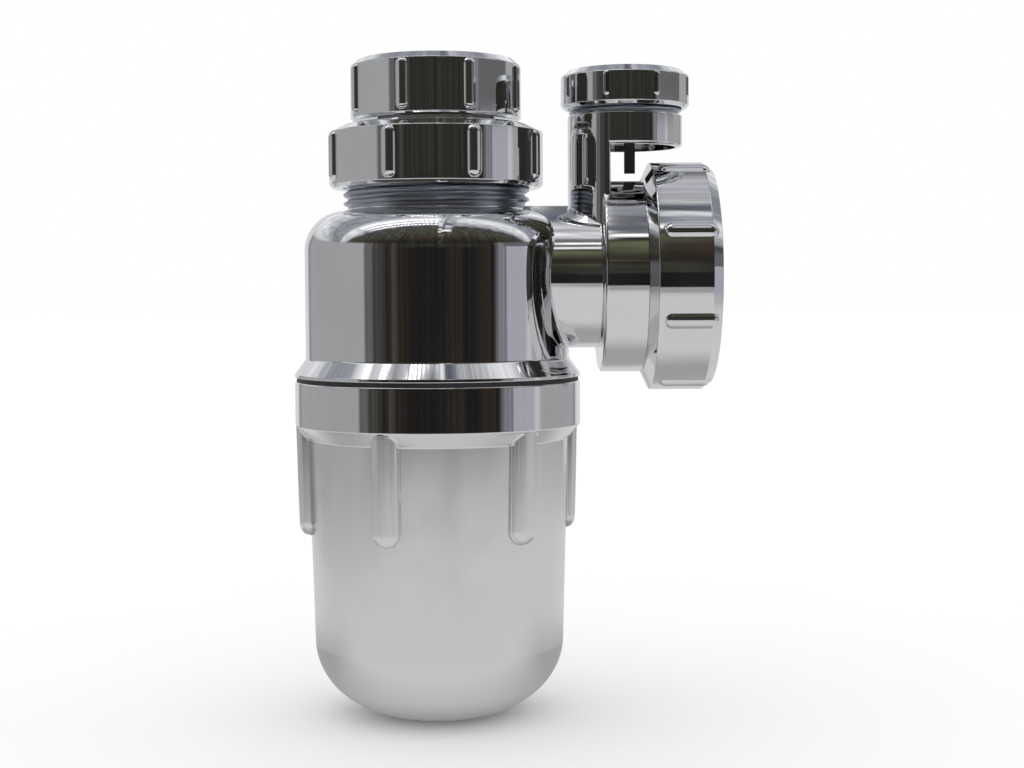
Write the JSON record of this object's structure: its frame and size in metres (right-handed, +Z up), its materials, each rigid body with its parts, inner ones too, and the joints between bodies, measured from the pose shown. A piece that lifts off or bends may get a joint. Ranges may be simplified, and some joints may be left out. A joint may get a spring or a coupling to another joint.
{
  "type": "bottle trap",
  "caption": "Chrome-plated bottle trap for a basin, with a vertical inlet nut, a side outlet nut and a small air valve on a riser over the outlet.",
  "frame": {"origin": "middle of the inlet at the lower end of its thread, 0.3 mm above the washer that the tail of the basin waste is screwed down on", "axes": "+Z up the inlet, out of the trap; +X out along the outlet"},
  "size_m": [0.1218, 0.0836, 0.1914],
  "materials": {
    "chrome_plating": "mirror-bright plating on moulded plastic",
    "white_plastic": "plain moulded",
    "black_rubber": "smooth matt",
    "dark_plastic": "plain moulded"
  },
  "bodies": {
    "trap": {"trap_body": "chrome_plating", "outlet_branch": "chrome_plating", "valve_housing": "chrome_plating", "neck_seal": "black_rubber", "outlet_seal": "black_rubber", "valve_seat": "white_plastic"},
    "neck_ring": {"neck_slip_ring": "white_plastic"},
    "neck_nut": {"neck_nut": "chrome_plating"},
    "outlet_ring": {"outlet_slip_ring": "white_plastic"},
    "outlet_nut": {"outlet_nut": "chrome_plating"},
    "cup_gasket": {"bottle_seal": "black_rubber"},
    "cup": {"bottle_cup": "chrome_plating"},
    "cap_gasket": {"valve_cap_seal": "black_rubber"},
    "valve_cap": {"valve_cap": "chrome_plating"},
    "tube": {"dip_tube": "white_plastic", "inlet_washer": "black_rubber"},
    "inlet_nut": {"inlet_nut": "chrome_plating"},
    "air_valve": {"valve_stem": "dark_plastic", "valve_disc": "black_rubber"}
  },
  "joints": [
    {"name": "neck_nut_travel", "type": "slide", "parent": "trap", "child": "neck_ring", "axis": [0, 0, 1], "range_m": [0, 0.00086]},
    {"name": "neck_nut_turn", "type": "hinge", "parent": "neck_ring", "child": "neck_nut", "pos_m": [0, 0, -0.0122], "axis": [0, 0, 1], "range_deg": [0, 108]},
    {"name": "outlet_nut_travel", "type": "slide", "parent": "trap", "child": "outlet_ring", "axis": [1, 0, 0], "range_m": [0, 0.01355]},
    {"name": "outlet_nut_turn", "type": "hinge", "parent": "outlet_ring", "child": "outlet_nut", "pos_m": [0.0759, 0, -0.0523], "axis": [1, 0, 0], "range_deg": [0, 1800]},
    {"name": "cup_travel", "type": "slide", "parent": "trap", "child": "cup_gasket", "axis": [0, 0, -1], "range_m": [0, 0.01265]},
    {"name": "cup_turn", "type": "hinge", "parent": "cup_gasket", "child": "cup", "pos_m": [0, 0, -0.0824], "axis": [0, 0, -1], "range_deg": [0, 1260]},
    {"name": "valve_cap_travel", "type": "slide", "parent": "trap", "child": "cap_gasket", "axis": [0, 0, 1], "range_m": [0, 0.00705]},
    {"name": "valve_cap_turn", "type": "hinge", "parent": "cap_gasket", "child": "valve_cap", "pos_m": [0.0552, 0, 0.0041], "axis": [0, 0, 1], "range_deg": [0, 1260]},
    {"name": "tube_slide", "type": "slide", "parent": "trap", "child": "tube", "axis": [0, 0, 1], "range_m": [0, 0.025]},
    {"name": "inlet_nut_turn", "type": "hinge", "parent": "tube", "child": "inlet_nut", "pos_m": [0, 0, 0], "axis": [0, 0, 1], "continuous": true},
    {"name": "air_valve_lift", "type": "slide", "parent": "trap", "child": "air_valve", "axis": [0, 0, 1], "range_m": [0, 0.004]}
  ],
  "couplings": [
    {"joint": "neck_nut_travel", "follows": "neck_nut_turn", "m_per_rad": 0.00042972},
    {"joint": "outlet_nut_travel", "follows": "outlet_nut_turn", "m_per_rad": 0.00042972},
    {"joint": "cup_travel", "follows": "cup_turn", "m_per_rad": 0.00057296},
    {"joint": "valve_cap_travel", "follows": "valve_cap_turn", "m_per_rad": 0.00031831}
  ]
}
